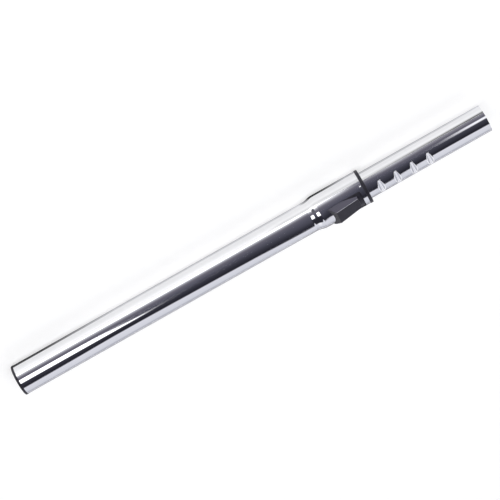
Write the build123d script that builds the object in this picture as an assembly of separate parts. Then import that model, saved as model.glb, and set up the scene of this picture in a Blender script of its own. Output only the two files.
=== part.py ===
from build123d import *
import math
import os

# Telescopic vacuum tube: a chromed inner tube slides in a chromed outer tube and is locked by a roller that
# drops into pressed notches. The tube axis is X, the open end of the outer tube is at the origin, and the
# thumb button is on top, towards +Z. Sizes are in millimetres and degrees.

# The two steel tubes
INNER_OD = 32.0
INNER_WALL = 0.8
TUBE_GAP = 1.2
OUTER_WALL = 0.8
OUTER_LENGTH = 438.0
TUBE_EDGE_RADIUS = 0.25

# Collar swaged on the outer tube's mouth, its window and its crimp dimples
CONE_LENGTH = 7.5
CONE_BLEND_RADIUS = 20.0
MOUTH_STRIP = 5.0
WINDOW_LENGTH = 37.5
WINDOW_WIDTH = 25.2
WINDOW_CORNER_RADIUS = 1.5
DIMPLE_RADIUS = 1.5
DIMPLE_DEPTH = 0.5
DIMPLE_FROM_MOUTH = 2.0
DIMPLE_ANGLES = (52.0, 128.0, 232.0, 308.0)

# Row of notches pressed into the inner tube
NOTCH_PITCH = 20.5
NOTCH_DEPTH = 3.5
NOTCH_HALF_ANGLE = 35.0
NOTCH_LIP_RADIUS = 1.0
COLLAPSE_STEPS = 5
EXTEND_STEPS = 7
PLAIN_END = 76.2

# Lock: roller, slider plate and return spring
ROLLER_DIAMETER = 3.6
ROLLER_LENGTH = 14.8
ROLLER_FROM_WINDOW = 20.8
SLIDER_TRAVEL = 5.0
PLATE_THICKNESS = 1.6
PLATE_OVERLAP = 4.9
PLATE_SIDE_LAP = 1.2
SPRING_DIAMETER = 2.2
SPRING_WIRE = 0.4
SPRING_LENGTH = 8.6
SPRING_TURNS = 4
TAB_THICKNESS = 1.5
TAB_WIDTH = 2.2

# Thumb button, a hollow wedge clipped on the slider plate
CREST_RISE = 4.15
CREST_WIDTH = 18.0
TAIL_RISE = 0.8
TAIL_WIDTH = 15.1
FRONT_RUN = 3.5
FRONT_SLOPE = 44.5
FRONT_LAP = 5.0
FLANK_ANGLE = 25.0
BUTTON_WALL = 1.4
BUTTON_EDGE_RADIUS = 0.7
PEG_DIAMETER = 3.0
PEG_SPREAD = 10.0
FRONT_PEG_FROM_CREST = 4.5
REAR_PEG_FROM_TAIL = 3.5

# Guide bush in the collar, with the black flange that shows at the mouth
BUSH_WEB = 1.2
BUSH_END_WALL = 1.0
BUSH_FLANGE = 3.9
FLANGE_LIP = 0.35
FLANGE_EDGE_RADIUS = 0.7

# Ring on the open end, with the sleeve that takes a 32 mm spigot
END_FLANGE = 3.0
END_LIP = 0.2
END_EDGE_RADIUS = 0.8
SOCKET_LENGTH = 33.0
SPIGOT_CLEARANCE = 0.1

# Glide bush and felt seal on the hidden end of the inner tube
GLIDE_LENGTH = 20.0
GLIDE_LIP = 1.5
SEAL_WIDTH = 3.0
SEAL_THICKNESS = 0.7
SEAL_FROM_END = 5.0
STOP_MARGIN = 3.0

# Clearances
SLIDE_CLEARANCE = 0.15
PRESS_CLEARANCE = 0.03
SEAL_CLEARANCE = 0.05
BUTTON_CLEARANCE = 0.3
END_CLEARANCE = 0.5

# Radii, from the tube axis outwards
INNER_R = INNER_OD / 2
INNER_BORE_R = INNER_R - INNER_WALL
OUTER_BORE_R = INNER_R + TUBE_GAP
OUTER_R = OUTER_BORE_R + OUTER_WALL
BUSH_BORE_R = INNER_R + SLIDE_CLEARANCE
CHANNEL_R = BUSH_BORE_R + BUSH_WEB
PLATE_INNER_R = CHANNEL_R + SLIDE_CLEARANCE
PLATE_OUTER_R = PLATE_INNER_R + PLATE_THICKNESS
COLLAR_BORE_R = PLATE_OUTER_R + SLIDE_CLEARANCE
COLLAR_R = COLLAR_BORE_R + OUTER_WALL
BUSH_R = COLLAR_BORE_R - PRESS_CLEARANCE
FLANGE_R = COLLAR_R + FLANGE_LIP
SOCKET_R = INNER_R + SPIGOT_CLEARANCE
GLIDE_R = OUTER_BORE_R - SLIDE_CLEARANCE
SEAL_R = OUTER_BORE_R - SEAL_CLEARANCE
FAR_R = 2 * COLLAR_R

# Stations along the tube
MOUTH_X = END_FLANGE + OUTER_LENGTH
WINDOW_END_X = MOUTH_X - MOUTH_STRIP
WINDOW_START_X = WINDOW_END_X - WINDOW_LENGTH
WINDOW_MIDDLE_X = WINDOW_END_X - WINDOW_LENGTH / 2
PLATE_START_X = WINDOW_START_X - SLIDER_TRAVEL - PLATE_OVERLAP
PLATE_END_X = MOUTH_X - SLIDER_TRAVEL - 2 * END_CLEARANCE
CHANNEL_START_X = PLATE_START_X - BUTTON_CLEARANCE
CHANNEL_END_X = MOUTH_X - END_CLEARANCE
BUSH_START_X = CHANNEL_START_X - BUSH_END_WALL
CONE_ANGLE = math.atan2(COLLAR_R - OUTER_R, CONE_LENGTH)
CONE_BLEND_RUN = (CONE_BLEND_RADIUS + OUTER_WALL) * math.tan(CONE_ANGLE / 2)
CONE_END_X = BUSH_START_X - CONE_BLEND_RUN - SLIDE_CLEARANCE
CONE_START_X = CONE_END_X - CONE_LENGTH
BUTTON_START_X = WINDOW_START_X + BUTTON_CLEARANCE
LAP_START_X = BUTTON_START_X - FRONT_LAP
CREST_X = BUTTON_START_X + FRONT_RUN
TAIL_X = WINDOW_END_X - SLIDER_TRAVEL - END_CLEARANCE
ROLLER_X = WINDOW_START_X + ROLLER_FROM_WINDOW
LAST_NOTCH_X = ROLLER_X + COLLAPSE_STEPS * NOTCH_PITCH
INNER_END_X = LAST_NOTCH_X + PLAIN_END
GLIDE_END_X = BUSH_START_X - STOP_MARGIN - EXTEND_STEPS * NOTCH_PITCH
INNER_START_X = GLIDE_END_X - GLIDE_LENGTH

# Roller seat and lift
ROLLER_R = ROLLER_DIAMETER / 2
NOTCH_FLOOR_Z = INNER_R - NOTCH_DEPTH
ROLLER_Z = NOTCH_FLOOR_Z + SLIDE_CLEARANCE + ROLLER_R
ROLLER_LIFT = NOTCH_DEPTH

# Button heights above the axis
CREST_Z = COLLAR_R + CREST_RISE
TAIL_Z = PLATE_OUTER_R + TAIL_RISE

# Spring seat under the button's crest
SPRING_Z = CHANNEL_R + SLIDE_CLEARANCE + SPRING_DIAMETER / 2
SPRING_START_X = CREST_X - 2 * SPRING_WIRE - BUTTON_WALL + SLIDE_CLEARANCE
TAB_X = SPRING_START_X + SPRING_LENGTH + SPRING_WIRE + 2 * SLIDE_CLEARANCE


def rod(radius, x_start, x_end):
    """Solid round bar on the tube axis."""
    bar = Cylinder(radius, x_end - x_start, align=(Align.CENTER, Align.CENTER, Align.MIN))
    return Pos(x_start, 0, 0) * Rot(0, 90, 0) * bar


def ring(outer_radius, inner_radius, x_start, x_end):
    """Plain round ring on the tube axis."""
    return rod(outer_radius, x_start, x_end) - rod(inner_radius, x_start - 1, x_end + 1)


def block(x_start, x_end, width, z_low, z_high):
    """Box that is centred across the tube."""
    centre = Pos((x_start + x_end) / 2, 0, (z_low + z_high) / 2)
    return centre * Box(x_end - x_start, width, z_high - z_low)


def turned(points):
    """Solid of revolution about the tube axis from a closed outline of (x, radius) points."""
    outline = Polyline(*points, close=True)
    return revolve(Plane.XZ * make_face(outline), Axis.X)


def across(sketch, width):
    """Side-view sketch drawn in (x, z) and pushed across the tube."""
    return extrude(Plane.XZ * sketch, width / 2, both=True)


def sector(outer_radius, inner_radius, half_width, x_start, x_end):
    """Curved plate on the button's side, cut off at a half width to either side."""
    shell = ring(outer_radius, inner_radius, x_start, x_end)
    return shell & block(x_start - 1, x_end + 1, 2 * half_width, 0, FAR_R)


def window_prism(margin, lap):
    """Upright prism in the window's outline, smaller by a margin all round and longer at its front by a lap."""
    length = WINDOW_LENGTH - 2 * margin + lap
    outline = RectangleRounded(length, WINDOW_WIDTH - 2 * margin, WINDOW_CORNER_RADIUS)
    return extrude(Pos(WINDOW_MIDDLE_X - lap / 2, 0, 0) * outline, FAR_R)


def make_outer_tube():
    """Drawn tube with its swaged collar, the button's window and the crimp dimples."""
    corner_shift = OUTER_WALL * math.tan(CONE_ANGLE / 2)
    outside = FilletPolyline(
        (END_FLANGE, OUTER_R),
        (CONE_START_X, OUTER_R),
        (CONE_END_X, COLLAR_R),
        (MOUTH_X, COLLAR_R),
        radius=CONE_BLEND_RADIUS,
    )
    inside = FilletPolyline(
        (END_FLANGE, OUTER_BORE_R),
        (CONE_START_X + corner_shift, OUTER_BORE_R),
        (CONE_END_X + corner_shift, COLLAR_BORE_R),
        (MOUTH_X, COLLAR_BORE_R),
        radius=CONE_BLEND_RADIUS,
    )
    ends = Line(outside @ 0, inside @ 0) + Line(outside @ 1, inside @ 1)
    tube = revolve(Plane.XZ * make_face(outside + inside + ends), Axis.X)

    for angle in DIMPLE_ANGLES:
        centre_r = COLLAR_R + DIMPLE_RADIUS - DIMPLE_DEPTH
        place = Rot(angle, 0, 0) * Pos(MOUTH_X - DIMPLE_FROM_MOUTH, 0, centre_r)
        bulge = place * Sphere(DIMPLE_RADIUS + OUTER_WALL)
        tube += bulge & rod(COLLAR_BORE_R + OUTER_WALL / 2, CONE_END_X, MOUTH_X)
        tube -= place * Sphere(DIMPLE_RADIUS)

    return tube - window_prism(0, 0)


def notch_outline(growth):
    """Section of one notch at the roller: a rounded V, drawn in (x, z) and grown by the wall for its inside."""
    seat_r = ROLLER_R + SLIDE_CLEARANCE + growth
    seat = Pos(ROLLER_X, NOTCH_FLOOR_Z - growth + seat_r) * Circle(seat_r)
    reach = math.radians(90 - NOTCH_HALF_ANGLE)
    foot = seat_r * math.sin(reach)
    foot_z = NOTCH_FLOOR_Z - growth + seat_r * (1 - math.cos(reach))
    top_z = INNER_R + INNER_WALL
    top = foot + (top_z - foot_z) * math.tan(math.radians(NOTCH_HALF_ANGLE))
    flare = make_face(
        Polyline(
            (ROLLER_X - foot, foot_z),
            (ROLLER_X + foot, foot_z),
            (ROLLER_X + top, top_z),
            (ROLLER_X - top, top_z),
            close=True,
        )
    )
    return seat + flare


def is_notch_lip(edge):
    """Whether an edge runs round a notch on the inner tube's outside."""
    points = [edge @ share for share in (0.1, 0.35, 0.6, 0.85)]
    off_surface = max(abs(math.hypot(point.Y, point.Z) - INNER_R) for point in points)
    along = edge.bounding_box().size.X
    return off_surface < PRESS_CLEARANCE and 0 < along < NOTCH_PITCH and edge.geom_type != GeomType.LINE


def make_inner_tube():
    """Inner tube with a row of cross notches pressed into its button side."""
    tube = ring(INNER_R, INNER_BORE_R, INNER_START_X, INNER_END_X)
    pressed = across(notch_outline(INNER_WALL), INNER_OD) & rod(INNER_R, INNER_START_X, INNER_END_X)
    groove = across(notch_outline(0), INNER_OD)
    steps = range(-EXTEND_STEPS, COLLAPSE_STEPS + 1)
    tube += [Pos(step * NOTCH_PITCH, 0, 0) * pressed for step in steps]
    tube -= [Pos(step * NOTCH_PITCH, 0, 0) * groove for step in steps]
    tube = fillet(tube.edges().filter_by(is_notch_lip), NOTCH_LIP_RADIUS)
    free_end = tube.edges().filter_by(GeomType.CIRCLE).group_by(Axis.X)[-1]
    return fillet(free_end, TUBE_EDGE_RADIUS)


def make_end_ring():
    """Moulded ring on the open end, with the sleeve inside the tube."""
    flange_r = OUTER_R + END_LIP
    sleeve_r = OUTER_BORE_R - PRESS_CLEARANCE
    body = turned(
        [
            (0, SOCKET_R),
            (0, flange_r),
            (END_FLANGE, flange_r),
            (END_FLANGE, sleeve_r),
            (SOCKET_LENGTH, sleeve_r),
            (SOCKET_LENGTH, SOCKET_R),
        ]
    )
    front_edges = body.edges().filter_by(GeomType.CIRCLE).group_by(Axis.X)[0]
    return fillet(front_edges.sort_by(SortBy.RADIUS)[-1], END_EDGE_RADIUS)


def make_guide_bush():
    """Bush in the collar: bore for the inner tube, channel for the slider and window for the roller."""
    bush = turned(
        [
            (BUSH_START_X, BUSH_BORE_R),
            (BUSH_START_X, BUSH_R),
            (MOUTH_X, BUSH_R),
            (MOUTH_X, FLANGE_R),
            (MOUTH_X + BUSH_FLANGE, FLANGE_R),
            (MOUTH_X + BUSH_FLANGE, BUSH_BORE_R),
        ]
    )
    rim = bush.edges().filter_by(GeomType.CIRCLE).group_by(SortBy.RADIUS)[-1]
    bush = fillet(rim, FLANGE_EDGE_RADIUS)

    channel_half = WINDOW_WIDTH / 2 + PLATE_SIDE_LAP + SLIDE_CLEARANCE
    bush -= sector(FAR_R, CHANNEL_R, channel_half, CHANNEL_START_X, CHANNEL_END_X)
    half_gap = ROLLER_R + SLIDE_CLEARANCE
    roller_width = ROLLER_LENGTH + 2 * SLIDE_CLEARANCE
    bush -= block(ROLLER_X - half_gap, ROLLER_X + half_gap, roller_width, 0, FAR_R)
    for angle in DIMPLE_ANGLES:
        centre_r = COLLAR_R + DIMPLE_RADIUS - DIMPLE_DEPTH
        place = Rot(angle, 0, 0) * Pos(MOUTH_X - DIMPLE_FROM_MOUTH, 0, centre_r)
        bush -= place * Sphere(DIMPLE_RADIUS + OUTER_WALL + SEAL_CLEARANCE)
    tab_top = SPRING_Z + SPRING_DIAMETER / 2
    return bush + block(TAB_X, TAB_X + TAB_THICKNESS, TAB_WIDTH, CHANNEL_R - BUSH_WEB / 2, tab_top)


def roller_path():
    """Slanted room that the roller needs in the slider, from locked to released."""
    gap_r = ROLLER_R + SLIDE_CLEARANCE
    length = math.hypot(SLIDER_TRAVEL, ROLLER_LIFT)
    tilt = math.degrees(math.atan2(ROLLER_LIFT, -SLIDER_TRAVEL))
    middle = Pos(ROLLER_X - SLIDER_TRAVEL / 2, ROLLER_Z + ROLLER_LIFT / 2)
    slot = SlotCenterToCenter(length, 2 * gap_r)
    return across(middle * Rot(0, 0, tilt) * slot, ROLLER_LENGTH + 2 * SLIDE_CLEARANCE)


def spring_room():
    """Slot in the slider for the spring and for the bush's tab, over the whole travel."""
    width = max(SPRING_DIAMETER, TAB_WIDTH) + 2 * SLIDE_CLEARANCE
    z_low = CHANNEL_R - BUSH_WEB
    z_high = SPRING_Z + SPRING_DIAMETER / 2 + SLIDE_CLEARANCE
    start_x = SPRING_START_X - SPRING_WIRE / 2 - SEAL_CLEARANCE
    return block(start_x, TAB_X + TAB_THICKNESS + SLIDE_CLEARANCE, width, z_low, z_high)


def pegs(diameter, z_low):
    """Three clip pegs of the button, which stand in the slider plate's holes."""
    places = [
        (CREST_X + FRONT_PEG_FROM_CREST, -PEG_SPREAD / 2),
        (CREST_X + FRONT_PEG_FROM_CREST, PEG_SPREAD / 2),
        (TAIL_X - REAR_PEG_FROM_TAIL, 0),
    ]
    peg = Cylinder(diameter / 2, CREST_Z - z_low, align=(Align.CENTER, Align.CENTER, Align.MIN))
    return [Pos(x, y, z_low) * peg for x, y in places]


def make_lock_slider():
    """Curved slider plate under the collar, with the slanted slot that frees the roller."""
    half_width = WINDOW_WIDTH / 2 + PLATE_SIDE_LAP
    plate = sector(PLATE_OUTER_R, PLATE_INNER_R, half_width, PLATE_START_X, PLATE_END_X)
    plate -= roller_path()
    plate -= spring_room()
    return plate - pegs(PEG_DIAMETER + 2 * SEAL_CLEARANCE, 0)


def button_form(inset, lap):
    """Wedge of the button, moved inwards by the inset, with a front that laps over the window's edge."""
    fall = math.atan2(CREST_Z - TAIL_Z, TAIL_X - CREST_X)
    front = math.radians(FRONT_SLOPE)
    top_drop = inset / math.cos(fall)
    front_shift = inset / math.sin(front)
    crest_shift = (front_shift * math.tan(front) - top_drop) / (math.tan(front) + math.tan(fall))
    crest = (CREST_X + crest_shift, CREST_Z - top_drop - crest_shift * math.tan(fall))
    tail_x = TAIL_X - inset
    tail = (tail_x, TAIL_Z - top_drop + inset * math.tan(fall))
    base_run = crest[1] / math.tan(front)
    side = make_face(Polyline((crest[0] - base_run, 0), crest, tail, (tail_x, 0), close=True))
    wedge = across(side, 2 * FAR_R)

    flank = math.tan(math.radians(FLANK_ANGLE))
    side_shift = inset / math.cos(math.radians(FLANK_ANGLE))
    crest_foot = CREST_WIDTH / 2 + CREST_Z * flank - side_shift
    tail_foot = TAIL_WIDTH / 2 + TAIL_Z * flank - side_shift
    taper = (crest_foot - tail_foot) / (TAIL_X - CREST_X)
    top_z = CREST_Z + BUTTON_WALL
    ends = []
    for x in (LAP_START_X, WINDOW_END_X):
        foot = crest_foot - taper * (x - CREST_X)
        top = foot - top_z * flank
        outline = Polyline((-foot, 0), (foot, 0), (top, top_z), (-top, top_z), close=True)
        ends.append(Plane(origin=(x, 0, 0), x_dir=(0, 1, 0), z_dir=(1, 0, 0)) * make_face(outline))
    flanks = loft(ends, ruled=True)
    return wedge & flanks & window_prism(BUTTON_CLEARANCE + inset, lap)


def make_thumb_button():
    """Hollow wedge on the slider plate, with its clip pegs."""
    wedge = button_form(0, FRONT_LAP)
    upper = wedge.edges().filter_by(lambda edge: edge.bounding_box().min.Z > PLATE_OUTER_R)
    cap = fillet(upper, BUTTON_EDGE_RADIUS) - button_form(BUTTON_WALL, 0)
    cap -= rod(PLATE_OUTER_R, WINDOW_START_X, WINDOW_END_X)
    collar = rod(COLLAR_R + SLIDE_CLEARANCE, LAP_START_X - FRONT_LAP, CREST_X)
    cap -= collar - window_prism(BUTTON_CLEARANCE, 0)
    cap += [peg & button_form(BUTTON_WALL / 2, 0) for peg in pegs(PEG_DIAMETER, 0)]
    cap -= rod(PLATE_INNER_R + SEAL_CLEARANCE, WINDOW_START_X, WINDOW_END_X)
    return cap - roller_path()


def make_lock_roller():
    """Steel pin that lies across the tube in a notch."""
    roller = Pos(ROLLER_X, 0, ROLLER_Z) * Rot(90, 0, 0) * Cylinder(ROLLER_R, ROLLER_LENGTH)
    return chamfer(roller.edges().filter_by(GeomType.CIRCLE), SLIDE_CLEARANCE)


def make_return_spring():
    """Coil spring between the slider plate and the bush's tab."""
    coil_r = (SPRING_DIAMETER - SPRING_WIRE) / 2
    start = (SPRING_START_X + SPRING_WIRE / 2, 0, SPRING_Z)
    path = Helix(SPRING_LENGTH / SPRING_TURNS, SPRING_LENGTH, coil_r, center=start, direction=(1, 0, 0))
    section = Plane(origin=path @ 0, z_dir=path % 0) * Circle(SPRING_WIRE / 2)
    return sweep(section, path=path, is_frenet=True)


def make_inner_end_bush():
    """Glide bush over the hidden end of the inner tube, with a groove for the seal."""
    groove_x = INNER_START_X + SEAL_FROM_END
    groove_r = GLIDE_R - SEAL_THICKNESS
    tube_r = INNER_R + PRESS_CLEARANCE
    bush = ring(GLIDE_R, tube_r, INNER_START_X, GLIDE_END_X)
    bush += ring(GLIDE_R, INNER_BORE_R, INNER_START_X - GLIDE_LIP, INNER_START_X)
    return bush - ring(FAR_R, groove_r, groove_x, groove_x + SEAL_WIDTH)


def make_inner_end_seal():
    """Felt ring in the glide bush's groove."""
    groove_x = INNER_START_X + SEAL_FROM_END
    groove_r = GLIDE_R - SEAL_THICKNESS
    return ring(SEAL_R, groove_r, groove_x, groove_x + SEAL_WIDTH)


PIECES = {
    "outer_tube": make_outer_tube,
    "inner_tube": make_inner_tube,
    "end_ring": make_end_ring,
    "guide_bush": make_guide_bush,
    "lock_slider": make_lock_slider,
    "thumb_button": make_thumb_button,
    "lock_roller": make_lock_roller,
    "return_spring": make_return_spring,
    "inner_end_bush": make_inner_end_bush,
    "inner_end_seal": make_inner_end_seal,
}

os.makedirs("parts", exist_ok=True)
for name, make in PIECES.items():
    piece = make()
    export_step(piece, f"parts/{name}.step")
    print(name, round(piece.volume, 1))
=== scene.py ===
import math

import bmesh
import bpy
from mathutils import Matrix, Vector


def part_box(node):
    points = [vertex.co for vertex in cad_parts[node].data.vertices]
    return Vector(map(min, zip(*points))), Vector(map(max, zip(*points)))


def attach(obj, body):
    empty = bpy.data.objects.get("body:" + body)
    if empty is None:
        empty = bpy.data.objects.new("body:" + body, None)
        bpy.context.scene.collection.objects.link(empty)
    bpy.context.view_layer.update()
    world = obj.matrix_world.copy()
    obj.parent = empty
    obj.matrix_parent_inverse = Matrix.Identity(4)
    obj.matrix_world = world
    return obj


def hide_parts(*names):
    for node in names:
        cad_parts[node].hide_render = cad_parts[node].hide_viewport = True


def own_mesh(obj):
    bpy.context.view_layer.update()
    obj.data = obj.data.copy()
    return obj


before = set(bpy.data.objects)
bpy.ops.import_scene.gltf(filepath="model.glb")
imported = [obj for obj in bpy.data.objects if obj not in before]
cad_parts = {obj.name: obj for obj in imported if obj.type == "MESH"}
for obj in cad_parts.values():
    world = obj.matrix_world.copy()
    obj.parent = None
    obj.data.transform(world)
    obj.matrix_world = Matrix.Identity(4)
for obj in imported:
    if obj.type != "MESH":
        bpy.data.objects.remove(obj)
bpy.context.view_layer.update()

# A chromed telescopic tube lies on a pale floor with its thumb button up. Lengths are in metres, angles in
# degrees. The tube axis is X and the button faces +Z.
MM = 0.001

# Sizes of the chromed tubes that the frame's boxes don't give
INNER_WALL = 0.8 * MM
OUTER_WALL = 0.8 * MM
CONE_LENGTH = 7.5 * MM
CONE_BLEND_RADIUS = 20.0 * MM
MOUTH_STRIP = 5.0 * MM
WINDOW_LENGTH = 37.5 * MM
WINDOW_WIDTH = 25.2 * MM
WINDOW_CORNER_RADIUS = 1.5 * MM
DIMPLE_RADIUS = 1.5 * MM
DIMPLE_DEPTH = 0.5 * MM
DIMPLE_FROM_MOUTH = 2.0 * MM
DIMPLE_ANGLES = (52.0, 128.0, 232.0, 308.0)
TUBE_EDGE_RADIUS = 0.25 * MM
BUSH_CLEARANCE = 0.15 * MM
END_LIP = 0.2 * MM
NOTCH_PITCH = 20.5 * MM
NOTCH_DEPTH = 3.5 * MM
NOTCH_SEAT_RADIUS = 1.95 * MM
NOTCH_HALF_ANGLE = 35.0
NOTCH_LIP = 0.9 * MM
NOTCHES_EACH_SIDE = {"towards_socket": 7, "towards_free_end": 5}

# Places read from the frame
OUTER_LOW, OUTER_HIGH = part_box("outer_tube")
INNER_LOW, INNER_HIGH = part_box("inner_tube")
BUSH_LOW, BUSH_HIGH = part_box("guide_bush")
RING_LOW, RING_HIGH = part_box("end_ring")
ROLLER_LOW, ROLLER_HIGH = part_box("lock_roller")
COLLAR_RADIUS = (OUTER_HIGH[1] - OUTER_LOW[1]) / 2
INNER_RADIUS = (INNER_HIGH[1] - INNER_LOW[1]) / 2
OUTER_RADIUS = (RING_HIGH[1] - RING_LOW[1]) / 2 - END_LIP
MOUTH_X = OUTER_HIGH[0]
CONE_ANGLE = math.atan2(COLLAR_RADIUS - OUTER_RADIUS, CONE_LENGTH)
CONE_END_X = BUSH_LOW[0] - (CONE_BLEND_RADIUS + OUTER_WALL) * math.tan(CONE_ANGLE / 2) - BUSH_CLEARANCE
ROLLER_X = (ROLLER_LOW[0] + ROLLER_HIGH[0]) / 2

# Mesh fineness, and the angles past which an edge is shaded sharp
ROUND_STEPS = 240
FILLET_STEPS = 16
DIMPLE_ROUND_STEPS = 32
DIMPLE_DOWN_STEPS = 20
NOTCH_COLUMNS = 22
NOTCH_ROWS = 64
NOTCH_REACH = 5.2 * MM
NOTCH_HALF_SPREAD = 46.0
PLAIN_ROWS = 60
MERGE_DISTANCE = 0.002 * MM
SMOOTH_ANGLE = 32.0
NOTCH_SMOOTH_ANGLE = 50.0
FLAT_FACE_WEIGHT = 100

# A face belongs to a turned wall if its corners are this close to the wall and its normal turns no further
# from the wall's than this cosine. The wall's slope is taken over one step to each side.
WALL_TOLERANCE = 0.01 * MM
WALL_COSINE = 0.95
SLOPE_STEP = 0.1 * MM


# Meshes

def new_piece(name, mesh):
    """Puts a mesh in the scene as an object at the origin."""
    piece = bpy.data.objects.new(name, mesh)
    bpy.context.collection.objects.link(piece)
    return piece


def smooth_by_angle(mesh, angle=SMOOTH_ANGLE):
    """Shades a mesh smooth and keeps its real corners sharp."""
    mesh.polygons.foreach_set("use_smooth", [True] * len(mesh.polygons))
    mesh.set_sharp_from_angle(angle=math.radians(angle))
    mesh.update()


def smooth_copy(node, name):
    """A merged, smoothly shaded copy of a CAD node, for the node's place in the scene."""
    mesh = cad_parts[node].data.copy()
    mesh.name = name
    mesh.materials.clear()
    work = bmesh.new()
    work.from_mesh(mesh)
    bmesh.ops.remove_doubles(work, verts=work.verts, dist=MERGE_DISTANCE)
    work.to_mesh(mesh)
    work.free()
    smooth_by_angle(mesh)
    piece = new_piece(name, mesh)
    even = piece.modifiers.new("even_shading", "WEIGHTED_NORMAL")
    even.keep_sharp = True
    even.weight = FLAT_FACE_WEIGHT
    bake_modifiers(piece)
    return piece


def lathe_mesh(name, outline):
    """Closed ring turned about the tube axis from a closed outline of (x, radius) points."""
    work = bmesh.new()
    loops = []
    for step in range(ROUND_STEPS):
        turn = 2 * math.pi * step / ROUND_STEPS
        side, up = math.sin(turn), math.cos(turn)
        loops.append([work.verts.new((x, r * side, r * up)) for x, r in outline])
    for step in range(ROUND_STEPS):
        near, far = loops[step], loops[(step + 1) % ROUND_STEPS]
        for i in range(len(outline)):
            j = (i + 1) % len(outline)
            work.faces.new((near[i], near[j], far[j], far[i]))
    bmesh.ops.recalc_face_normals(work, faces=work.faces)
    mesh = bpy.data.meshes.new(name)
    work.to_mesh(mesh)
    work.free()
    return mesh


def rounded_corner(before, corner, after, radius):
    """Points of the arc that rounds one corner of an outline."""
    corner, before, after = Vector(corner), Vector(before), Vector(after)
    to_before = (before - corner).normalized()
    to_after = (after - corner).normalized()
    half = to_before.angle(to_after) / 2
    reach = radius / math.tan(half)
    middle = corner + (to_before + to_after).normalized() * (radius / math.sin(half))
    start = corner + to_before * reach - middle
    end = corner + to_after * reach - middle
    sweep = start.angle_signed(end)
    points = []
    for step in range(FILLET_STEPS + 1):
        turned = Matrix.Rotation(-sweep * step / FILLET_STEPS, 2) @ start
        points.append(tuple(middle + turned))
    return points


def collar_line(collar_radius, tube_radius, shift):
    """One wall of the outer tube from its open end to the collar's mouth, as (x, radius) points."""
    start_x = OUTER_LOW[0]
    cone_start = (CONE_END_X - CONE_LENGTH + shift, tube_radius)
    cone_end = (CONE_END_X + shift, collar_radius)
    line = [(start_x, tube_radius)]
    line += rounded_corner((start_x, tube_radius), cone_start, cone_end, CONE_BLEND_RADIUS)
    line += rounded_corner(cone_start, cone_end, (MOUTH_X, collar_radius), CONE_BLEND_RADIUS)
    line.append((MOUTH_X, collar_radius))
    return line


def window_cutter():
    """Rounded block that cuts the button's window through the collar's top."""
    end_x = MOUTH_X - MOUTH_STRIP
    start_x = end_x - WINDOW_LENGTH
    half = WINDOW_WIDTH / 2
    corners = [(start_x, -half), (end_x, -half), (end_x, half), (start_x, half)]
    outline = []
    for i, corner in enumerate(corners):
        outline += rounded_corner(corners[i - 1], corner, corners[(i + 1) % 4], WINDOW_CORNER_RADIUS)
    work = bmesh.new()
    low = [work.verts.new((x, y, 0)) for x, y in outline]
    high = [work.verts.new((x, y, 2 * COLLAR_RADIUS)) for x, y in outline]
    work.faces.new(low)
    work.faces.new(high)
    for i in range(len(outline)):
        j = (i + 1) % len(outline)
        work.faces.new((low[i], low[j], high[j], high[i]))
    bmesh.ops.recalc_face_normals(work, faces=work.faces)
    mesh = bpy.data.meshes.new("window_cutter")
    work.to_mesh(mesh)
    work.free()
    return new_piece("window_cutter", mesh)


def dimple_cutter():
    """Small balls that press the crimp dimples into the collar's edge."""
    work = bmesh.new()
    reach = COLLAR_RADIUS + DIMPLE_RADIUS - DIMPLE_DEPTH
    for angle in DIMPLE_ANGLES:
        turn = Matrix.Rotation(math.radians(angle), 4, "X")
        place = turn @ Matrix.Translation((MOUTH_X - DIMPLE_FROM_MOUTH, 0, reach))
        bmesh.ops.create_uvsphere(
            work,
            u_segments=DIMPLE_ROUND_STEPS,
            v_segments=DIMPLE_DOWN_STEPS,
            radius=DIMPLE_RADIUS,
            matrix=place,
        )
    mesh = bpy.data.meshes.new("dimple_cutter")
    work.to_mesh(mesh)
    work.free()
    return new_piece("dimple_cutter", mesh)


def cut_away(piece, cutter):
    """Cuts one closed mesh out of another and removes the cutter."""
    cut = piece.modifiers.new("cut", "BOOLEAN")
    cut.operation = "DIFFERENCE"
    cut.solver = "EXACT"
    cut.object = cutter
    bake_modifiers(piece)
    bpy.data.objects.remove(cutter)


def bake_modifiers(piece):
    """Turns a piece's modifiers into plain mesh."""
    graph = bpy.context.evaluated_depsgraph_get()
    mesh = bpy.data.meshes.new_from_object(piece.evaluated_get(graph), depsgraph=graph)
    piece.modifiers.clear()
    piece.data = mesh


def line_at(line, x):
    """Radius of a wall at one station, from its (x, radius) points."""
    for (x0, r0), (x1, r1) in zip(line, line[1:]):
        if x0 <= x <= x1 and x1 > x0:
            return r0 + (r1 - r0) * (x - x0) / (x1 - x0)
    return line[0][1] if x < line[0][0] else line[-1][1]


def wall_normal(line, point):
    """Exact normal of a turned wall at a point, or none where the point is off that wall."""
    x, y, z = point
    radius = math.hypot(y, z)
    if abs(radius - line_at(line, x)) > WALL_TOLERANCE:
        return None
    slope = (line_at(line, x + SLOPE_STEP) - line_at(line, x - SLOPE_STEP)) / (2 * SLOPE_STEP)
    return Vector((-slope, y / radius, z / radius)).normalized()


def true_round_normals(mesh, walls):
    """Gives the round walls the exact normals of the turned form, so that reflections run straight."""
    smooth_by_angle(mesh)
    normals = [Vector(corner.vector) for corner in mesh.corner_normals]
    for face in mesh.polygons:
        for line in walls:
            exact = [wall_normal(line, mesh.vertices[i].co) for i in face.vertices]
            if None in exact or abs(exact[0].dot(face.normal)) < WALL_COSINE:
                continue
            way = 1 if exact[0].dot(face.normal) > 0 else -1
            for corner, normal in zip(face.loop_indices, exact):
                normals[corner] = way * normal
    mesh.normals_split_custom_set(normals)


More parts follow.
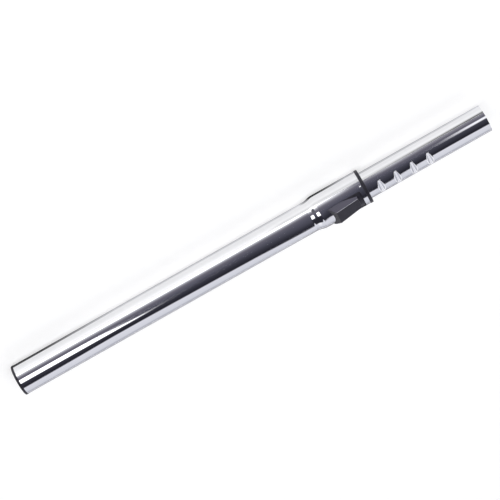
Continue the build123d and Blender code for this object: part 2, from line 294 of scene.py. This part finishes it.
def make_outer_tube():
    """Outer tube with its swaged collar, window and crimp dimples."""
    shift = OUTER_WALL * math.tan(CONE_ANGLE / 2)
    outside = collar_line(COLLAR_RADIUS, OUTER_RADIUS, 0)
    inside = collar_line(COLLAR_RADIUS - OUTER_WALL, OUTER_RADIUS - OUTER_WALL, shift)
    piece = new_piece("outer_tube_chrome", lathe_mesh("outer_tube_chrome", outside + inside[::-1]))
    cut_away(piece, window_cutter())
    cut_away(piece, dimple_cutter())
    true_round_normals(piece.data, (outside, inside))
    return piece


# Sums in node trees

def maths(tree, operation, *values):
    """One Math node fed by sockets or numbers."""
    step = tree.nodes.new("ShaderNodeMath")
    step.operation = operation
    for i, value in enumerate(values):
        if isinstance(value, (int, float)):
            step.inputs[i].default_value = value
        else:
            tree.links.new(value, step.inputs[i])
    return step.outputs[0]


# The inner tube's notches, pressed by a node tree

def press_tree():
    """Node tree that presses a row of rounded V notches into the top of a tube skin."""
    tree = bpy.data.node_groups.new("press_notches", "GeometryNodeTree")
    face = tree.interface
    face.new_socket("Geometry", in_out="INPUT", socket_type="NodeSocketGeometry")
    sizes = ("First notch", "Last notch", "Pitch", "Floor height", "Seat radius", "Half angle", "Lip")
    for size in sizes:
        face.new_socket(size, in_out="INPUT", socket_type="NodeSocketFloat")
    face.new_socket("Metal", in_out="INPUT", socket_type="NodeSocketMaterial")
    face.new_socket("Geometry", in_out="OUTPUT", socket_type="NodeSocketGeometry")
    node, link = tree.nodes.new, tree.links.new
    given = node("NodeGroupInput").outputs
    place = node("ShaderNodeSeparateXYZ")
    link(node("GeometryNodeInputPosition").outputs[0], place.inputs[0])
    x, y, z = place.outputs

    first, last, pitch = given["First notch"], given["Last notch"], given["Pitch"]
    within = maths(tree, "MINIMUM", maths(tree, "MAXIMUM", x, first), last)
    steps = maths(tree, "DIVIDE", maths(tree, "SUBTRACT", within, first), pitch)
    nearest = maths(tree, "MULTIPLY_ADD", maths(tree, "ROUND", steps), pitch, first)
    off = maths(tree, "ABSOLUTE", maths(tree, "SUBTRACT", x, nearest))

    seat, half, floor = given["Seat radius"], given["Half angle"], given["Floor height"]
    foot = maths(tree, "MULTIPLY", seat, maths(tree, "COSINE", half))
    in_seat = maths(tree, "MINIMUM", off, foot)
    seat_square = maths(tree, "MULTIPLY", seat, seat)
    in_seat_square = maths(tree, "MULTIPLY", in_seat, in_seat)
    drop = maths(tree, "SQRT", maths(tree, "SUBTRACT", seat_square, in_seat_square))
    bottom = maths(tree, "ADD", floor, maths(tree, "SUBTRACT", seat, drop))
    past_foot = maths(tree, "MAXIMUM", maths(tree, "SUBTRACT", off, foot), 0.0)
    rise = maths(tree, "DIVIDE", past_foot, maths(tree, "TANGENT", half))
    groove = maths(tree, "ADD", bottom, rise)
    pressed = maths(tree, "SMOOTH_MIN", z, groove, given["Lip"])
    is_top = maths(tree, "GREATER_THAN", z, 0.0)
    height = maths(tree, "MULTIPLY_ADD", maths(tree, "SUBTRACT", pressed, z), is_top, z)

    joined = node("ShaderNodeCombineXYZ")
    link(x, joined.inputs[0])
    link(y, joined.inputs[1])
    link(height, joined.inputs[2])
    move = node("GeometryNodeSetPosition")
    link(given["Geometry"], move.inputs["Geometry"])
    link(joined.outputs[0], move.inputs["Position"])
    real = node("GeometryNodeRealizeInstances")
    link(move.outputs[0], real.inputs[0])
    metal = node("GeometryNodeSetMaterial")
    link(real.outputs[0], metal.inputs["Geometry"])
    link(given["Metal"], metal.inputs["Material"])
    link(metal.outputs[0], node("NodeGroupOutput").inputs[0])
    return tree


def give_inputs(modifier, values):
    """Sets a node modifier's inputs through their identifiers, found by name in the tree."""
    for item in modifier.node_group.interface.items_tree:
        if item.in_out == "INPUT" and item.name in values:
            modifier[item.identifier] = values[item.name]


def tube_skin(stations, angles, radius):
    """Open skin of a tube: rings of points at the stations, with points at the angles from the top."""
    work = bmesh.new()
    rings = []
    for x in stations:
        ring = []
        for angle in angles:
            turn = math.radians(angle)
            ring.append(work.verts.new((x, radius * math.sin(turn), radius * math.cos(turn))))
        rings.append(ring)
    for near, far in zip(rings, rings[1:]):
        for i in range(len(angles)):
            j = (i + 1) % len(angles)
            work.faces.new((near[i], far[i], far[j], near[j]))
    bmesh.ops.recalc_face_normals(work, faces=work.faces)
    mesh = bpy.data.meshes.new("inner_tube_chrome")
    work.to_mesh(mesh)
    work.free()
    return mesh


def make_inner_tube(metal):
    """Inner tube with its row of notches, closed at both rims by its own wall."""
    first = ROLLER_X - NOTCHES_EACH_SIDE["towards_socket"] * NOTCH_PITCH
    count = sum(NOTCHES_EACH_SIDE.values()) + 1
    last = first + (count - 1) * NOTCH_PITCH
    stations = {INNER_LOW[0], INNER_HIGH[0] - TUBE_EDGE_RADIUS, INNER_HIGH[0]}
    for k in range(count):
        middle = first + k * NOTCH_PITCH
        stations |= {middle + NOTCH_REACH * (2 * i / NOTCH_COLUMNS - 1) for i in range(NOTCH_COLUMNS + 1)}
    fine = [NOTCH_HALF_SPREAD * (2 * i / NOTCH_ROWS - 1) for i in range(NOTCH_ROWS + 1)]
    rest = 360.0 - 2 * NOTCH_HALF_SPREAD
    coarse = [NOTCH_HALF_SPREAD + rest * i / PLAIN_ROWS for i in range(1, PLAIN_ROWS)]
    piece = new_piece("inner_tube_chrome", tube_skin(sorted(stations), fine + coarse, INNER_RADIUS))

    press = piece.modifiers.new("press", "NODES")
    press.node_group = press_tree()
    give_inputs(press, {
        "First notch": first,
        "Last notch": last,
        "Pitch": NOTCH_PITCH,
        "Floor height": INNER_RADIUS - NOTCH_DEPTH,
        "Seat radius": NOTCH_SEAT_RADIUS,
        "Half angle": math.radians(NOTCH_HALF_ANGLE),
        "Lip": NOTCH_LIP,
        "Metal": metal,
    })
    wall = piece.modifiers.new("wall", "SOLIDIFY")
    wall.thickness = INNER_WALL
    wall.offset = -1
    wall.use_even_offset = True
    bake_modifiers(piece)
    smooth_by_angle(piece.data, NOTCH_SMOOTH_ANGLE)
    return piece


# Materials

def new_material(name):
    """A node material with its shader and a place to read the object's own coordinates."""
    material = bpy.data.materials.new(name)
    material.use_nodes = True
    nodes = material.node_tree.nodes
    place = nodes.new("ShaderNodeTexCoord")
    return material, nodes, material.node_tree.links, nodes["Principled BSDF"], place.outputs["Object"]


def noise(nodes, links, place, scale, stretch=(1, 1, 1), detail=4.0, roughness=0.55):
    """Noise on the object's own coordinates, stretched along each axis."""
    mapping = nodes.new("ShaderNodeMapping")
    mapping.inputs["Scale"].default_value = stretch
    links.new(place, mapping.inputs["Vector"])
    texture = nodes.new("ShaderNodeTexNoise")
    texture.inputs["Scale"].default_value = scale
    texture.inputs["Detail"].default_value = detail
    texture.inputs["Roughness"].default_value = roughness
    links.new(mapping.outputs[0], texture.inputs["Vector"])
    return texture.outputs["Fac"]


def ramp(nodes, links, factor, stops):
    """Colours or greys spread along a factor."""
    spread = nodes.new("ShaderNodeValToRGB")
    elements = spread.color_ramp.elements
    while len(elements) < len(stops):
        elements.new(0.5)
    for element, (position, colour) in zip(elements, stops):
        element.position = position
        element.color = colour if isinstance(colour, tuple) else (colour, colour, colour, 1)
    links.new(factor, spread.inputs[0])
    return spread.outputs[0]


def bump(nodes, links, height, distance, strength):
    """Bump from a height."""
    raised = nodes.new("ShaderNodeBump")
    raised.inputs["Distance"].default_value = distance
    raised.inputs["Strength"].default_value = strength
    links.new(height, raised.inputs["Height"])
    return raised.outputs[0]


def rises(tree, value, low, high):
    """0 at one value, 1 at another, with a smooth step between."""
    step = tree.nodes.new("ShaderNodeMapRange")
    step.interpolation_type = "SMOOTHSTEP"
    tree.links.new(value, step.inputs["Value"])
    step.inputs["From Min"].default_value = low
    step.inputs["From Max"].default_value = high
    return step.outputs["Result"]


def both(tree, first, second):
    """Cover where two covers meet."""
    return maths(tree, "MULTIPLY", first, second)


def over(tree, colour, patch, cover):
    """One colour laid over another where the cover is 1."""
    mix = tree.nodes.new("ShaderNodeMix")
    mix.data_type = "RGBA"
    tree.links.new(cover, mix.inputs["Factor"])
    tree.links.new(colour, mix.inputs["A"])
    mix.inputs["B"].default_value = patch
    return mix.outputs["Result"]


# Share of a wall's normal that points away from the axis where the bore's look begins, and where it is full
BORE_FACING = (-0.1, -0.4)


def bore_side(tree):
    """1 where a tube's wall faces its axis, X."""
    coords = tree.nodes.new("ShaderNodeTexCoord")
    spoke = tree.nodes.new("ShaderNodeVectorMath")
    spoke.operation = "MULTIPLY"
    tree.links.new(coords.outputs["Object"], spoke.inputs[0])
    spoke.inputs[1].default_value = (0, 1, 1)
    outward = tree.nodes.new("ShaderNodeVectorMath")
    outward.operation = "NORMALIZE"
    tree.links.new(spoke.outputs["Vector"], outward.inputs[0])
    share = tree.nodes.new("ShaderNodeVectorMath")
    share.operation = "DOT_PRODUCT"
    tree.links.new(outward.outputs["Vector"], share.inputs[0])
    tree.links.new(coords.outputs["Normal"], share.inputs[1])
    return rises(tree, share.outputs["Value"], *BORE_FACING)


def facing(tree):
    """The way that the surface faces, as its X, Y and Z shares."""
    parts = tree.nodes.new("ShaderNodeSeparateXYZ")
    tree.links.new(tree.nodes.new("ShaderNodeTexCoord").outputs["Normal"], parts.inputs[0])
    return parts.outputs


# Chrome plate darkens where it is seen at a glancing angle, and the bore is plain rolled steel
CHROME_EDGE_TINT = (0.5, 0.5, 0.54, 1)
BORE_GREY = (0.52, 0.52, 0.53, 1)
BORE_ROUGHNESS = 0.45


def polished_chrome(name):
    """Bright chrome plate with faint drawing lines and a few dull patches, and a dull bore."""
    material, nodes, links, shader, place = new_material(name)
    tree = material.node_tree
    bore = bore_side(tree)
    shader.inputs["Metallic"].default_value = 1.0
    shader.inputs["Specular Tint"].default_value = CHROME_EDGE_TINT
    lines = noise(nodes, links, place, scale=900.0, stretch=(0.02, 1, 1), detail=3.0)
    patches = noise(nodes, links, place, scale=22.0, detail=3.0)
    tint = ramp(nodes, links, patches, [(0.3, (0.9, 0.905, 0.92, 1)), (0.7, (0.95, 0.95, 0.96, 1))])
    links.new(over(tree, tint, BORE_GREY, bore), shader.inputs["Base Color"])
    gloss = ramp(nodes, links, lines, [(0.25, 0.03), (0.8, 0.075)])
    links.new(maths(tree, "MULTIPLY_ADD", bore, BORE_ROUGHNESS, gloss), shader.inputs["Roughness"])
    links.new(bump(nodes, links, lines, distance=0.002 * MM, strength=0.05), shader.inputs["Normal"])
    return material


# Black plastic: how the surface faces where the painted highlight on the button's edges and the painted
# light on its sides begin and are full, the darkest and lightest share of the grey where the plastic
# flowed, and how the grain spreads the roughness
HIGHLIGHT_ASIDE = (0.15, 0.4)
HIGHLIGHT_UPWARD = (0.5, 0.7)
LIT_SIDE_ASIDE = (0.78, 0.9)
FLOW_SHARES = (0.85, 1.2)
GRAIN_SPREAD = (-0.06, 0.08)
PLASTIC_SPECULAR = 0.45
PLASTIC_TINT = (0.95, 0.92, 1, 1)


def painted_edge_highlight(tree):
    """1 on the button's rounded long edges, where a lighter grey is painted as a highlight, by the way that
    the surface faces.
    """
    shares = facing(tree)
    aside = rises(tree, maths(tree, "ABSOLUTE", shares["Y"]), *HIGHLIGHT_ASIDE)
    upward = rises(tree, shares["Z"], *HIGHLIGHT_UPWARD)
    return both(tree, aside, upward)


def painted_lit_sides(tree):
    """1 on the button's upright sides, where a lighter grey is painted for the light that they catch, by
    the way that the surface faces.
    """
    return rises(tree, maths(tree, "ABSOLUTE", facing(tree)["Y"]), *LIT_SIDE_ASIDE)


def moulded_black(name, grey, roughness, edge_highlight=None, lit_sides=None):
    """Black moulded plastic with a fine spark-eroded grain, with a painted edge highlight and painted light
    on the sides where given.
    """
    material, nodes, links, shader, place = new_material(name)
    tree = material.node_tree
    grain = noise(nodes, links, place, scale=5200.0, detail=2.0)
    flow = noise(nodes, links, place, scale=130.0, detail=3.0)
    low, high = (tuple(share * part for part in grey) + (1,) for share in FLOW_SHARES)
    colour = ramp(nodes, links, flow, [(0.3, low), (0.7, high)])
    # Painted light: a lighter grey on the button's upright sides
    if lit_sides is not None:
        colour = over(tree, colour, lit_sides, painted_lit_sides(tree))
    # Painted highlight: a lighter grey on the button's rounded long edges
    if edge_highlight is not None:
        colour = over(tree, colour, edge_highlight, painted_edge_highlight(tree))
    links.new(colour, shader.inputs["Base Color"])
    smoothest, roughest = (roughness + spread for spread in GRAIN_SPREAD)
    satin = ramp(nodes, links, grain, [(0.3, smoothest), (0.7, roughest)])
    links.new(satin, shader.inputs["Roughness"])
    shader.inputs["Specular IOR Level"].default_value = PLASTIC_SPECULAR
    shader.inputs["Specular Tint"].default_value = PLASTIC_TINT
    links.new(bump(nodes, links, grain, distance=0.03 * MM, strength=0.25), shader.inputs["Normal"])
    return material


def drawn_steel(name):
    """Plain drawn steel of the pin and the spring."""
    material, nodes, links, shader, place = new_material(name)
    shader.inputs["Metallic"].default_value = 1.0
    lines = noise(nodes, links, place, scale=2400.0, stretch=(1, 0.05, 1), detail=3.0)
    links.new(ramp(nodes, links, lines, [(0.3, 0.5), (0.7, 0.62)]), shader.inputs["Base Color"])
    links.new(ramp(nodes, links, lines, [(0.3, 0.2), (0.7, 0.36)]), shader.inputs["Roughness"])
    return material


def pressed_felt(name):
    """Grey felt with loose fibres."""
    material, nodes, links, shader, place = new_material(name)
    fibres = noise(nodes, links, place, scale=3000.0, detail=6.0, roughness=0.7)
    felt = ramp(nodes, links, fibres, [(0.3, (0.2, 0.2, 0.21, 1)), (0.7, (0.4, 0.4, 0.41, 1))])
    links.new(felt, shader.inputs["Base Color"])
    shader.inputs["Roughness"].default_value = 0.95
    links.new(bump(nodes, links, fibres, distance=0.2 * MM, strength=0.8), shader.inputs["Normal"])
    return material


# Pieces, their finishes and the bodies that they move with

RING_GREY = (0.014, 0.0135, 0.019)
RING_ROUGHNESS = 0.36
BUTTON_GREY = (0.012, 0.0115, 0.017)
BUTTON_ROUGHNESS = 0.33
# Grey of the painted highlight on the button's long edges
BUTTON_HIGHLIGHT_GREY = (0.4, 0.4, 0.44, 1)
# Grey of the painted light on the button's upright sides
BUTTON_LIT_SIDE_GREY = (0.064, 0.061, 0.084, 1)

outer_chrome = polished_chrome("polished_chrome_outer")
inner_chrome = polished_chrome("polished_chrome_inner")
ring_black = moulded_black("satin_black_ring", RING_GREY, RING_ROUGHNESS)
slider_black = moulded_black("satin_black_slider", RING_GREY, RING_ROUGHNESS)
button_black = moulded_black(
    "satin_black_button",
    BUTTON_GREY,
    BUTTON_ROUGHNESS,
    edge_highlight=BUTTON_HIGHLIGHT_GREY,
    lit_sides=BUTTON_LIT_SIDE_GREY,
)
steel = drawn_steel("drawn_steel")
felt = pressed_felt("pressed_felt")


def settle(piece, node, body, material):
    """Gives a piece its finish and its body in place of a CAD node."""
    piece.data.materials.clear()
    piece.data.materials.append(material)
    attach(piece, body)
    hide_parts(node)


settle(make_outer_tube(), "outer_tube", "outer", outer_chrome)
settle(make_inner_tube(inner_chrome), "inner_tube", "inner", inner_chrome)
COPIES = (
    ("end_ring", "outer", "black_ring", ring_black),
    ("guide_bush", "outer", "black_ring", ring_black),
    ("return_spring", "outer", "bright_steel", steel),
    ("lock_slider", "slider", "black_slider", slider_black),
    ("thumb_button", "slider", "black_button", button_black),
    ("lock_roller", "roller", "bright_steel", steel),
    ("inner_end_bush", "inner", "black_ring", ring_black),
    ("inner_end_seal", "inner", "grey_felt", felt),
)
for node, body, slot, material in COPIES:
    settle(smooth_copy(node, node + "_finished"), node, body, material)

# The return spring, which shortens against the bush's tab as the button is pushed, gets a mesh of its own
spring = bpy.data.objects["return_spring_finished"]
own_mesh(spring)


# Floor, light and camera

FLOOR_SIZE = 12.0
FLOOR_WHITE = 0.5
FLOOR_LIFT = 0.56
CONTACT_INSET = 2 * MM

# Painted shade on the floor that only mirror rays see, so that the chrome mirrors a dimmer floor in places.
# Each LIGHT is the share of light that stays, and each pair of places is where a zone begins and where it
# is full.
# A painted contact shadow: a dim strip close under the tube, by the place along it in millimetres
STRIP_HALF_WIDTH = 20.5 * MM
STRIP_SOFT_EDGE = 2 * MM
STRIP_LIGHT = (
    (0, 0.08),
    (40, 0.1),
    (70, 0.3),
    (100, 0.55),
    (135, 0.8),
    (350, 0.82),
    (370, 0.95),
    (381, 0.05),
    (398, 0.06),
    (410, 0.3),
    (430, 0.7),
    (560, 0.82),
    (600, 1.0),
)
# A dim patch out in front of the free end, which leans towards the collar with the distance
PATCH_ALONG = (381 * MM, 675 * MM)
PATCH_SPREAD = 0.19
PATCH_NEAR = (35 * MM, 165 * MM)
PATCH_FAR = (1600 * MM, 900 * MM)
PATCH_LIGHT = 0.15
# A faint line in front of the collar and the free end
LINE_ALONG = (315 * MM, 345 * MM)
LINE_NEAR = (35 * MM, 115 * MM)
LINE_FAR = (300 * MM, 140 * MM)
LINE_LIGHT = 0.73
# The floor close in front
FRONT_NEAR = (16 * MM, 30 * MM)
FRONT_FAR = (85 * MM, 34 * MM)
FRONT_LIGHT = 0.905
# The floor behind, and a dimmer stretch of it behind the collar
REAR_ACROSS = (-20 * MM, -60 * MM)
REAR_LIGHT = 0.78
DIP_RISE = (320 * MM, 375 * MM)
DIP_FALL = (545 * MM, 470 * MM)
DIP_LIGHT = 0.57


def painted_mirror_shade(tree):
    """Share of the floor's light painted out as shade for mirror rays, from the place on the floor."""
    place = tree.nodes.new("ShaderNodeSeparateXYZ")
    tree.links.new(tree.nodes.new("ShaderNodeTexCoord").outputs["Object"], place.inputs[0])
    along, across = place.outputs["X"], place.outputs["Y"]
    aside = maths(tree, "ABSOLUTE", across)
    under = rises(tree, aside, STRIP_HALF_WIDTH + STRIP_SOFT_EDGE, STRIP_HALF_WIDTH - STRIP_SOFT_EDGE)
    length = STRIP_LIGHT[-1][0]
    stops = [(at / length, 1 - light) for at, light in STRIP_LIGHT]
    dim = ramp(tree.nodes, tree.links, maths(tree, "DIVIDE", along, length * MM), stops)
    strip = both(tree, under, dim)
    leaning = maths(tree, "MULTIPLY_ADD", across, PATCH_SPREAD, along)
    spread = both(tree, rises(tree, across, *PATCH_NEAR), rises(tree, across, *PATCH_FAR))
    patch = both(tree, rises(tree, leaning, *PATCH_ALONG), spread)
    breadth = both(tree, rises(tree, across, *LINE_NEAR), rises(tree, across, *LINE_FAR))
    line = both(tree, rises(tree, along, *LINE_ALONG), breadth)
    front = both(tree, rises(tree, across, *FRONT_NEAR), rises(tree, across, *FRONT_FAR))
    rear = rises(tree, across, *REAR_ACROSS)
    stretch = both(tree, rises(tree, along, *DIP_RISE), rises(tree, along, *DIP_FALL))
    dip = both(tree, rear, stretch)
    loss = strip
    zones = [(patch, PATCH_LIGHT), (line, LINE_LIGHT), (front, FRONT_LIGHT)]
    zones += [(rear, REAR_LIGHT), (dip, DIP_LIGHT)]
    for zone, light in zones:
        loss = maths(tree, "MAXIMUM", loss, maths(tree, "MULTIPLY", zone, 1 - light))
    mirrored = tree.nodes.new("ShaderNodeLightPath").outputs["Is Glossy Ray"]
    return maths(tree, "MULTIPLY", loss, mirrored)


def make_floor():
    """Pale floor that touches the bush's flange and the end ring, as the tube lies on it."""
    flange_x, flange_z = BUSH_HIGH[0] - CONTACT_INSET, BUSH_LOW[2]
    ring_x, ring_z = RING_LOW[0] + CONTACT_INSET, RING_LOW[2]
    slope = (ring_z - flange_z) / (ring_x - flange_x)
    half = FLOOR_SIZE / 2
    corners = [(-half, -half), (half, -half), (half, half), (-half, half)]
    mesh = bpy.data.meshes.new("floor")
    mesh.from_pydata([(x, y, flange_z + slope * (x - flange_x)) for x, y in corners], [], [(0, 1, 2, 3)])
    floor = new_piece("floor", mesh)
    material = bpy.data.materials.new("pale_floor")
    material.use_nodes = True
    tree = material.node_tree
    tree.nodes.remove(tree.nodes["Principled BSDF"])
    matt = tree.nodes.new("ShaderNodeBsdfDiffuse")
    matt.inputs["Color"].default_value = (FLOOR_WHITE, FLOOR_WHITE, FLOOR_WHITE, 1)
    path = tree.nodes.new("ShaderNodeLightPath")
    seen = maths(tree, "MAXIMUM", path.outputs["Is Camera Ray"], path.outputs["Is Glossy Ray"])
    glow = tree.nodes.new("ShaderNodeEmission")
    tree.links.new(maths(tree, "MULTIPLY", seen, FLOOR_LIFT), glow.inputs["Strength"])
    lit = tree.nodes.new("ShaderNodeAddShader")
    tree.links.new(matt.outputs[0], lit.inputs[0])
    tree.links.new(glow.outputs[0], lit.inputs[1])
    dark = tree.nodes.new("ShaderNodeBsdfDiffuse")
    dark.inputs["Color"].default_value = (0, 0, 0, 1)
    dimmed = tree.nodes.new("ShaderNodeMixShader")
    # Painted shade that only mirror rays see
    tree.links.new(painted_mirror_shade(tree), dimmed.inputs[0])
    tree.links.new(lit.outputs[0], dimmed.inputs[1])
    tree.links.new(dark.outputs[0], dimmed.inputs[2])
    tree.links.new(dimmed.outputs[0], tree.nodes["Material Output"].inputs["Surface"])
    mesh.materials.append(material)


# Bands of the studio round the tube, by the angle up from the horizon in front (0), over the top (90) and
# down to the horizon behind (180)
HALF_TURN = 180.0
STUDIO_BANDS = (
    (0, (3.4, 3.4, 3.45, 1)),
    (7, (3.4, 3.4, 3.45, 1)),
    (11.5, (0.9, 0.9, 0.93, 1)),
    (17, (0.58, 0.58, 0.62, 1)),
    (23, (0.32, 0.315, 0.36, 1)),
    (31, (0.165, 0.16, 0.195, 1)),
    (40, (0.125, 0.12, 0.155, 1)),
    (56, (0.085, 0.085, 0.115, 1)),
    (74, (0.045, 0.045, 0.062, 1)),
    (96, (0.022, 0.022, 0.031, 1)),
    (108, (0.022, 0.022, 0.031, 1)),
    (114, (0.75, 0.745, 0.815, 1)),
    (134, (0.71, 0.72, 0.79, 1)),
    (156, (0.69, 0.7, 0.76, 1)),
    (172, (0.52, 0.53, 0.6, 1)),
    (180, (0.54, 0.55, 0.61, 1)),
)

# Panels of the studio past the socket's end (side -1) and past the free end (side 1): the angles that they
# cover, from and to, with a soft edge, how far to the side they begin and end, with a fade, and the degrees
# by which the lower edge rises towards the near end where a panel has a pointed tip
SOCKET_STREAK = (2.0, 2.0, 2.05, 1)
FREE_END_STREAK = (1.02, 1.02, 1.08, 1)
CONE_GREY = (0.12, 0.12, 0.14, 1)
CONE_DARK = (0.022, 0.022, 0.031, 1)
NOTCH_GLINT = (1.0, 1.0, 1.04, 1)
STUDIO_PANELS = (
    {"side": -1, "angles": (45, 71, 3), "reach": (0.092, 0.45, 0.004), "tip": 22, "colour": SOCKET_STREAK},
    {"side": -1, "angles": (2, 34, 4), "reach": (0.45, 0.7, 0.02), "tip": 0, "colour": CONE_GREY},
    {"side": 1, "angles": (32, 49, 4), "reach": (0.074, 0.4, 0.009), "tip": 0, "colour": FREE_END_STREAK},
    {"side": -1, "angles": (112, 190, 4), "reach": (0.35, 1.2, 0.1), "tip": 0, "colour": NOTCH_GLINT},
    {"side": 1, "angles": (112, 190, 4), "reach": (0.35, 1.2, 0.1), "tip": 0, "colour": NOTCH_GLINT},
    {"side": -1, "angles": (80, 123, 4), "reach": (0.165, 0.66, 0.015), "tip": 0, "colour": CONE_DARK},
)
TIP_REACH = (0.122, 0.092)

# How far the bands are turned, in degrees, by how far to the side the mirror looks: the low bands and the
# high ones, the angles between which one gives way to the other, and how the low bands' turn eases off
HIGH_ANGLES = (40.0, 90.0)
EASING_ANGLES = (-4.0, 16.0)
EASING_SHARE = 0.45
BEND_REACH = 0.2
BEND_MOST = 40.0
LOW_BEND = (
    (-0.2, 0),
    (-0.15, 3),
    (-0.126, 3),
    (-0.11, 1),
    (-0.087, -1),
    (-0.06, 0),
    (-0.04, 0.8),
    (-0.019, 2),
    (-0.012, 8),
    (-0.004, 8),
    (0.005, 9.5),
    (0.011, 12),
    (0.015, 15.5),
    (0.024, 31),
    (0.03, 30),
    (0.037, 17.5),
    (0.048, 18),
    (0.056, 24),
    (0.065, 26.5),
    (0.075, 26.5),
    (0.084, 29),
    (0.11, 28),
    (0.16, 0),
)
HIGH_BEND = (
    (-0.19, 0),
    (-0.15, -2.3),
    (-0.135, 0),
    (-0.12, 3.5),
    (-0.108, 7.2),
    (-0.094, 7.2),
    (-0.08, 4.6),
    (-0.072, 2.4),
    (-0.06, 0.4),
    (-0.046, -2.8),
    (-0.037, -5),
    (-0.026, -11),
    (-0.019, -15),
    (-0.012, -19),
    (-0.004, -17),
    (0.002, -2),
    (0.026, -6),
    (0.038, -8),
    (0.045, 4),
    (0.056, 7),
    (0.08, 7),
    (0.09, 5),
    (0.12, 0),
)

# Pale ends of the studio, from none to full by how far to the side they are
PALE = (0.97, 0.97, 0.97, 1)
PALE_ENDS = (0.7, 0.92)


def bend_along(tree, along, stops):
    """Turn of the bands in degrees, by the sideways share of the mirrored direction."""
    place = maths(tree, "MULTIPLY_ADD", along, 0.5 / BEND_REACH, 0.5)
    greys = [(0.5 + 0.5 * at / BEND_REACH, 0.5 + 0.5 * turn / BEND_MOST) for at, turn in stops]
    grey = ramp(tree.nodes, tree.links, place, greys)
    return maths(tree, "MULTIPLY_ADD", grey, 2 * BEND_MOST, -BEND_MOST)


def make_studio():
    """World of soft bands along the tube, pale past its two ends and as a background."""
    world = bpy.data.worlds.new("studio")
    bpy.context.scene.world = world
    world.use_nodes = True
    tree = world.node_tree
    parts = tree.nodes.new("ShaderNodeSeparateXYZ")
    tree.links.new(tree.nodes.new("ShaderNodeTexCoord").outputs["Generated"], parts.inputs[0])
    along = parts.outputs["X"]
    turn = maths(tree, "ARCTAN2", parts.outputs["Z"], parts.outputs["Y"])
    angle = maths(tree, "MULTIPLY", turn, HALF_TURN / math.pi)

    high = rises(tree, angle, *HIGH_ANGLES)
    low = maths(tree, "SUBTRACT", 1.0, high)
    easing = maths(tree, "MULTIPLY_ADD", rises(tree, angle, *EASING_ANGLES), -EASING_SHARE, 1.0)
    low_bend = maths(tree, "MULTIPLY", bend_along(tree, along, LOW_BEND), both(tree, low, easing))
    bend = maths(tree, "MULTIPLY_ADD", bend_along(tree, along, HIGH_BEND), high, low_bend)
    share = maths(tree, "DIVIDE", maths(tree, "ADD", angle, bend), HALF_TURN)
    bands = [(at / HALF_TURN, band) for at, band in STUDIO_BANDS]
    colour = ramp(tree.nodes, tree.links, share, bands)

    for panel in STUDIO_PANELS:
        start, end, soft = panel["angles"]
        near, far, fade = panel["reach"]
        side = maths(tree, "MULTIPLY", along, panel["side"])
        tip = maths(tree, "MULTIPLY", rises(tree, side, *TIP_REACH), panel["tip"])
        above = rises(tree, maths(tree, "SUBTRACT", angle, tip), start - soft, start + soft)
        below = rises(tree, angle, end + soft, end - soft)
        past = rises(tree, side, near - fade, near + fade)
        before = rises(tree, side, far + fade, far - fade)
        cover = both(tree, both(tree, above, below), both(tree, past, before))
        colour = over(tree, colour, panel["colour"], cover)
    colour = over(tree, colour, PALE, rises(tree, maths(tree, "ABSOLUTE", along), *PALE_ENDS))
    colour = over(tree, colour, PALE, tree.nodes.new("ShaderNodeLightPath").outputs["Is Camera Ray"])
    tree.links.new(colour, tree.nodes["Background"].inputs["Color"])
    tree.nodes["Background"].inputs["Strength"].default_value = 1.0


LAMP_AIM = (0.3, 0, 0)


def make_lamp(name, place, aim, size, power):
    """Soft area lamp that lights matt surfaces and stays out of the mirror finish."""
    data = bpy.data.lights.new(name, "AREA")
    data.shape = "RECTANGLE"
    data.size, data.size_y = size
    data.energy = power
    lamp = bpy.data.objects.new(name, data)
    lamp.location = place
    lamp.rotation_euler = (Vector(aim) - Vector(place)).to_track_quat("-Z", "Y").to_euler()
    lamp.visible_glossy = False
    bpy.context.collection.objects.link(lamp)


# The photograph's frame, with its size and focal length in pixels, and where its camera stood
IMAGE_SIZE = 500
FOCAL_PIXELS = 2195.0
TUBE_SLANT = 29.4
CAMERA_ELEVATION = 44.0
CAMERA_YAW = 2.6
CAMERA_DISTANCE = 2.4507
AIM_X = 0.298
AIM_RISE = -0.00034
SENSOR_WIDTH = 36.0
VIEW_DEPTH = 100.0


def make_camera():
    """Camera that looks down on the tube, turned so that the tube runs up to the right."""
    rise, yaw = math.radians(CAMERA_ELEVATION), math.radians(CAMERA_YAW)
    back = Vector((math.sin(yaw) * math.cos(rise), math.cos(yaw) * math.cos(rise), math.sin(rise)))
    along = (Vector((1, 0, 0)) - back * back.x).normalized()
    below = (-back).cross(along)
    slant = math.radians(TUBE_SLANT)
    right = along * math.cos(slant) + below * math.sin(slant)
    up = along * math.sin(slant) - below * math.cos(slant)
    aim = Vector((AIM_X, 0, 0)) + below * AIM_RISE
    place = aim + back * CAMERA_DISTANCE
    data = bpy.data.cameras.new("camera")
    data.sensor_width = SENSOR_WIDTH
    data.lens = FOCAL_PIXELS / IMAGE_SIZE * SENSOR_WIDTH
    data.clip_end = VIEW_DEPTH
    camera = bpy.data.objects.new("camera", data)
    turn = Matrix((right, up, back)).transposed()
    camera.matrix_world = Matrix.Translation(place) @ turn.to_4x4()
    bpy.context.collection.objects.link(camera)
    bpy.context.scene.camera = camera


make_floor()
make_studio()
make_lamp("key_softbox", place=(0.3, 1.4, 1.9), aim=LAMP_AIM, size=(2.4, 1.8), power=36)
make_lamp("back_softbox", place=(0.3, -1.6, 1.4), aim=LAMP_AIM, size=(2.4, 1.2), power=8)
make_camera()
bpy.context.scene.view_settings.view_transform = "Standard"
